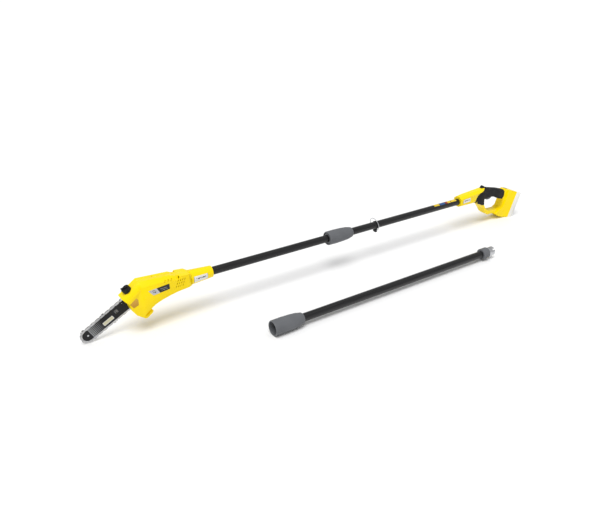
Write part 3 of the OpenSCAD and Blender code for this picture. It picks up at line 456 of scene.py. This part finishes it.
FINISH = {
    "yellow": ("head_shell_near", "head_shell_far", "sprocket_cover", "branch_hook", "handle_shell_near",
               "handle_shell_far"),
    "tube": ("front_tube", "rear_tube", "extension_tube"),
    "grey": ("front_collar", "coupling_sleeve", "extension_sleeve", "extension_collar", "trigger"),
    "light": ("dock_plate",),
    "black": ("oil_cap", "brush_holder", "cooling_fan", "oil_pump", "rear_receiver", "extension_receiver",
              "strap_clamp", "clamp_knob", "lock_button", "trigger_switch", "terminal_block"),
    "tank": ("oil_tank",),
    "plug": ("front_plug", "extension_plug"),
    "cast": ("gear_case",),
    "steel": ("bar_nut", "bar_stud", "nose_sprocket", "drive_sprocket", "output_shaft", "crown_gear",
              "shaft_bearings", "motor_can", "motor_pinion", "tension_screw", "tension_block", "head_screws",
              "strap_ring", "trigger_pin", "handle_screws"),
    "chain": ("saw_chain",),
    "copper": ("motor_rotor",),
    "rubber": ("soft_grip",),
    "cable": ("oil_hose", "front_cable", "rear_cable", "extension_cable"),
    "amber": ("oil_window",),
    "bar": ("guide_bar",),
    "head_sticker": ("head_label",),
    "head_badge": ("head_badge",),
    "handle_badge": ("handle_badge",),
    "tube_sticker": ("tube_stickers",),
    "board": ("control_board",),
}


def paint(obj, finish):
    obj.data.materials.clear()
    obj.data.materials.append(MATERIALS[finish])


def finish_nodes():
    for finish, names in FINISH.items():
        for name in names:
            paint(nodes[name], finish)


# ------------------------------------------------------------------ softened housings

WELD_DISTANCE = 2e-5
FLAT_ANGLE = math.radians(0.6)


def welded_copy(name):
    """The CAD node's mesh with its faces joined up, as a bmesh."""
    mesh = bmesh.new()
    mesh.from_mesh(nodes[name].data)
    bmesh.ops.remove_doubles(mesh, verts=mesh.verts, dist=WELD_DISTANCE)
    bmesh.ops.dissolve_limit(mesh, angle_limit=FLAT_ANGLE, verts=mesh.verts, edges=mesh.edges)
    return mesh


def new_object(name, mesh):
    data = bpy.data.meshes.new(name)
    mesh.to_mesh(data)
    mesh.free()
    obj = bpy.data.objects.new(name, data)
    scene.collection.objects.link(obj)
    return obj


def shade(obj, angle=32):
    obj.data.shade_smooth()
    obj.data.set_sharp_from_angle(angle=math.radians(angle))


def body_of_node(name):
    """The name of the body that a CAD node belongs to."""
    for body, members in record["behaviour"]["bodies"].items():
        if name in members:
            return body
    return None


def round_edges(mesh, width, chosen, segments=3):
    """Bevels the edges that a test picks out."""
    edges = [edge for edge in mesh.edges if chosen(edge)]
    bmesh.ops.bevel(mesh, geom=edges, offset=width, offset_type="OFFSET", segments=segments, profile=0.5,
                    affect="EDGES", clamp_overlap=True, harden_normals=False)


def sharp_and_long(edge, shortest, sharpest=18):
    """An outer edge that is long enough and sharp enough to carry a moulding radius."""
    if len(edge.link_faces) != 2 or edge.calc_length() < shortest:
        return False
    return edge.is_convex and edge.calc_face_angle(0) > math.radians(sharpest)


def softened(name, width, finish, shortest, shape=None):
    """A copy of a CAD node, shaped further if need be, with its longer edges rounded."""
    mesh = welded_copy(name)
    if shape:
        shape(mesh)
    round_edges(mesh, width, lambda edge: sharp_and_long(edge, shortest))
    obj = new_object(name + "_soft", mesh)
    shade(obj)
    obj.data.materials.append(MATERIALS[finish])
    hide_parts(name)
    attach(obj, body_of_node(name))
    return obj


# ------------------------------------------------------------------ floor, light, camera

FLOOR_SIZE = 80
FLOOR_WHITE = (0.93, 0.93, 0.93)


def floor():
    bpy.ops.mesh.primitive_plane_add(size=FLOOR_SIZE)
    obj = bpy.context.object
    obj.name = "floor"
    graph = Graph("floor", FLOOR_WHITE, 0.7)
    graph.paint(graph.varied(FLOOR_WHITE, 2, 0.004))
    obj.data.materials.append(graph.material)


SKY_STRENGTH = 0.58
KEY_ENERGY = 2.0
KEY_SPREAD = math.radians(35)
KEY_TURN = (math.radians(12), math.radians(-14), 0)


def light():
    """An even white sky and one broad key light from above."""
    world = bpy.data.worlds.new("studio")
    scene.world = world
    world.use_nodes = True
    background = world.node_tree.nodes["Background"]
    background.inputs["Color"].default_value = (1, 1, 1, 1)
    background.inputs["Strength"].default_value = SKY_STRENGTH
    data = bpy.data.lights.new("key", "SUN")
    data.energy = KEY_ENERGY
    data.angle = KEY_SPREAD
    key = bpy.data.objects.new("key", data)
    key.rotation_euler = KEY_TURN
    scene.collection.objects.link(key)


CAMERA_PLACE = Vector((-1.3511, -1.5226, 1.083))
CAMERA_YAW = 0.605877
CAMERA_PITCH = 0.474098
CAMERA_ROLL = 0.01312
SENSOR_WIDTH = 36
LENS = 36
VIEW_LIMIT = 200


def camera():
    """Looks down on the saw from its near side: angles in radians, lengths of the lens in millimetres."""
    forward = Vector((
        math.sin(CAMERA_YAW) * math.cos(CAMERA_PITCH),
        math.cos(CAMERA_YAW) * math.cos(CAMERA_PITCH),
        -math.sin(CAMERA_PITCH),
    ))
    level = Vector((math.cos(CAMERA_YAW), -math.sin(CAMERA_YAW), 0))
    above = level.cross(forward)
    right = level * math.cos(CAMERA_ROLL) + above * math.sin(CAMERA_ROLL)
    up = right.cross(forward)
    data = bpy.data.cameras.new("camera")
    data.sensor_width = SENSOR_WIDTH
    data.lens = LENS
    data.clip_end = VIEW_LIMIT
    obj = bpy.data.objects.new("camera", data)
    turn = Matrix((right, up, -forward)).transposed()
    obj.matrix_world = Matrix.Translation(CAMERA_PLACE) @ turn.to_4x4()
    scene.collection.objects.link(obj)
    scene.camera = obj


# ------------------------------------------------------------------ the object

NECK_LENGTH = 81 * MM
NECK_FLARE = 0.28
NECK_SPAN = (-0.1, 1.16)
NECK_RADIUS = 22 * MM
TUBE_RADIUS = 17 * MM
SHOULDER_LENGTH = 70 * MM
SHOULDER_ROUNDING = 8 * MM
SHOULDER_RUN = 8 * MM
SHOULDER_EDGE = 10 * MM
SHOULDER_ANGLE = 40
SHOULDER_SEGMENTS = 5


def flare_neck(mesh):
    """The neck widens evenly from the tube's end towards the motor housing.

    How far back a point is counts from 0 at the tube's end to 1 at the housing, and points a little
    past the housing's end widen as much as those at it.
    """
    for vertex in mesh.verts:
        back = (HEAD_END - vertex.co.x) / NECK_LENGTH
        offset = Vector((0, vertex.co.y - POLE_Y, vertex.co.z - POLE_Z))
        if NECK_SPAN[0] < back < NECK_SPAN[1] and TUBE_RADIUS < offset.length < NECK_RADIUS:
            vertex.co += offset * NECK_FLARE * max(0, min(back, 1))


def round_shoulder(mesh):
    """Wider rounding on the long edges of the motor housing's rear stretch."""
    rear = HEAD_END - NECK_LENGTH + 1 * MM
    front = rear - SHOULDER_LENGTH

    def chosen(edge):
        ends = [vertex.co.x for vertex in edge.verts]
        run = abs(ends[0] - ends[1])
        inside = min(ends) > front and max(ends) < rear
        return inside and run > SHOULDER_RUN and sharp_and_long(edge, SHOULDER_EDGE, SHOULDER_ANGLE)

    round_edges(mesh, SHOULDER_ROUNDING, chosen, SHOULDER_SEGMENTS)


def shape_head(mesh):
    round_shoulder(mesh)
    flare_neck(mesh)


DOCK_LEAN = math.radians(19)
DOCK_RIM = 15 * MM
RIM_SLOT = 1


def shape_handle(mesh):
    """The rear rim of the dock block, next to its plate, takes the second material."""
    normal = Vector((math.cos(DOCK_LEAN), 0, -math.sin(DOCK_LEAN)))
    start = Vector((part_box("dock_plate")[0].x - DOCK_RIM, 0, 0))
    everything = list(mesh.verts) + list(mesh.edges) + list(mesh.faces)
    bmesh.ops.bisect_plane(mesh, geom=everything, plane_co=start, plane_no=normal, dist=1e-6)
    for face in mesh.faces:
        if (face.calc_center_median() - start).dot(normal) > 0:
            face.material_index = RIM_SLOT


def surface_below(obj, x, y):
    """Where a line straight down at x, y meets an object, and the surface's normal there."""
    hit, place, normal, _ = obj.ray_cast(Vector((x, y, 1)), Vector((0, 0, -1)))
    return (place, normal) if hit else (None, None)


# Size and place of the black ribbed plate that paints the shade of the recess on the dock block's top
SHADE_PLATE_SIZE = (24 * MM, 15 * MM, 2.4 * MM)
SHADE_PLATE_BEHIND_RIM = 2 * MM
SHADE_PLATE_ASIDE = 18 * MM
SHADE_PLATE_RIBS = 5
SHADE_PLATE_RIB_SHARE = 0.7
SHADE_PLATE_BASE_DROP = 0.4 * MM
SHADE_PLATE_EDGE = 0.3 * MM
SHADE_PLATE_SUNK_SHARE = 0.2


def block(mesh, middle, size):
    """Adds a box to the mesh."""
    place = Matrix.Translation(middle) @ Matrix.Diagonal((*size, 1))
    bmesh.ops.create_cube(mesh, size=1, matrix=place)


def recess_shade_plate(shell):
    """Painted shade: a black ribbed plate let into the top of the dock block, standing in for the shade in the
    recess there.
    """
    plate_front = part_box("dock_plate")[0].x
    place, normal = surface_below(shell, plate_front + SHADE_PLATE_BEHIND_RIM, POLE_Y + SHADE_PLATE_ASIDE)
    if place is None:
        return
    length, width, height = SHADE_PLATE_SIZE
    mesh = bmesh.new()
    pitch = length / SHADE_PLATE_RIBS
    for rib in range(SHADE_PLATE_RIBS):
        rib_x = (rib + 0.5) * pitch - length / 2
        block(mesh, (rib_x, 0, 0), (pitch * SHADE_PLATE_RIB_SHARE, width, height))
    block(mesh, (0, 0, -SHADE_PLATE_BASE_DROP), SHADE_PLATE_SIZE)
    round_edges(mesh, SHADE_PLATE_EDGE, lambda edge: True, 2)
    tilt = Vector((0, 0, 1)).rotation_difference(normal).to_matrix().to_4x4()
    mesh.transform(Matrix.Translation(place - normal * height * SHADE_PLATE_SUNK_SHARE) @ tilt)
    obj = new_object("recess_shade_plate", mesh)
    shade(obj)
    obj.data.materials.append(MATERIALS["black"])
    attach(obj, "rear_section")


SHELL_EDGE = 2.2 * MM
SHELL_SHORTEST = 12 * MM
BADGE_EDGE = 0.2 * MM
HOOK_EDGE = 2.5 * MM
HOOK_SHORTEST = 3 * MM
PLATE_EDGE = 1.2 * MM
SMALL_SHORTEST = 5 * MM


def yellow_housing(name, shape=None):
    return softened(name, SHELL_EDGE, "yellow", SHELL_SHORTEST, shape)


def housings():
    yellow_housing("head_shell_near", shape_head)
    yellow_housing("head_shell_far", shape_head)
    softened("head_badge", BADGE_EDGE, "head_badge", SHELL_SHORTEST, flare_neck)
    yellow_housing("sprocket_cover")
    softened("branch_hook", HOOK_EDGE, "yellow", HOOK_SHORTEST)
    near = yellow_housing("handle_shell_near", shape_handle)
    far = yellow_housing("handle_shell_far", shape_handle)
    for shell in (near, far):
        shell.data.materials.append(MATERIALS["light"])
    # Painted shade: a black plate on the far shell's top stands in for the shaded recess
    recess_shade_plate(far)
    softened("soft_grip", SHELL_EDGE, "rubber", SMALL_SHORTEST)
    softened("dock_plate", PLATE_EDGE, "light", SMALL_SHORTEST)


finish_nodes()
housings()
floor()
light()
camera()
scene.view_settings.view_transform = "Standard"
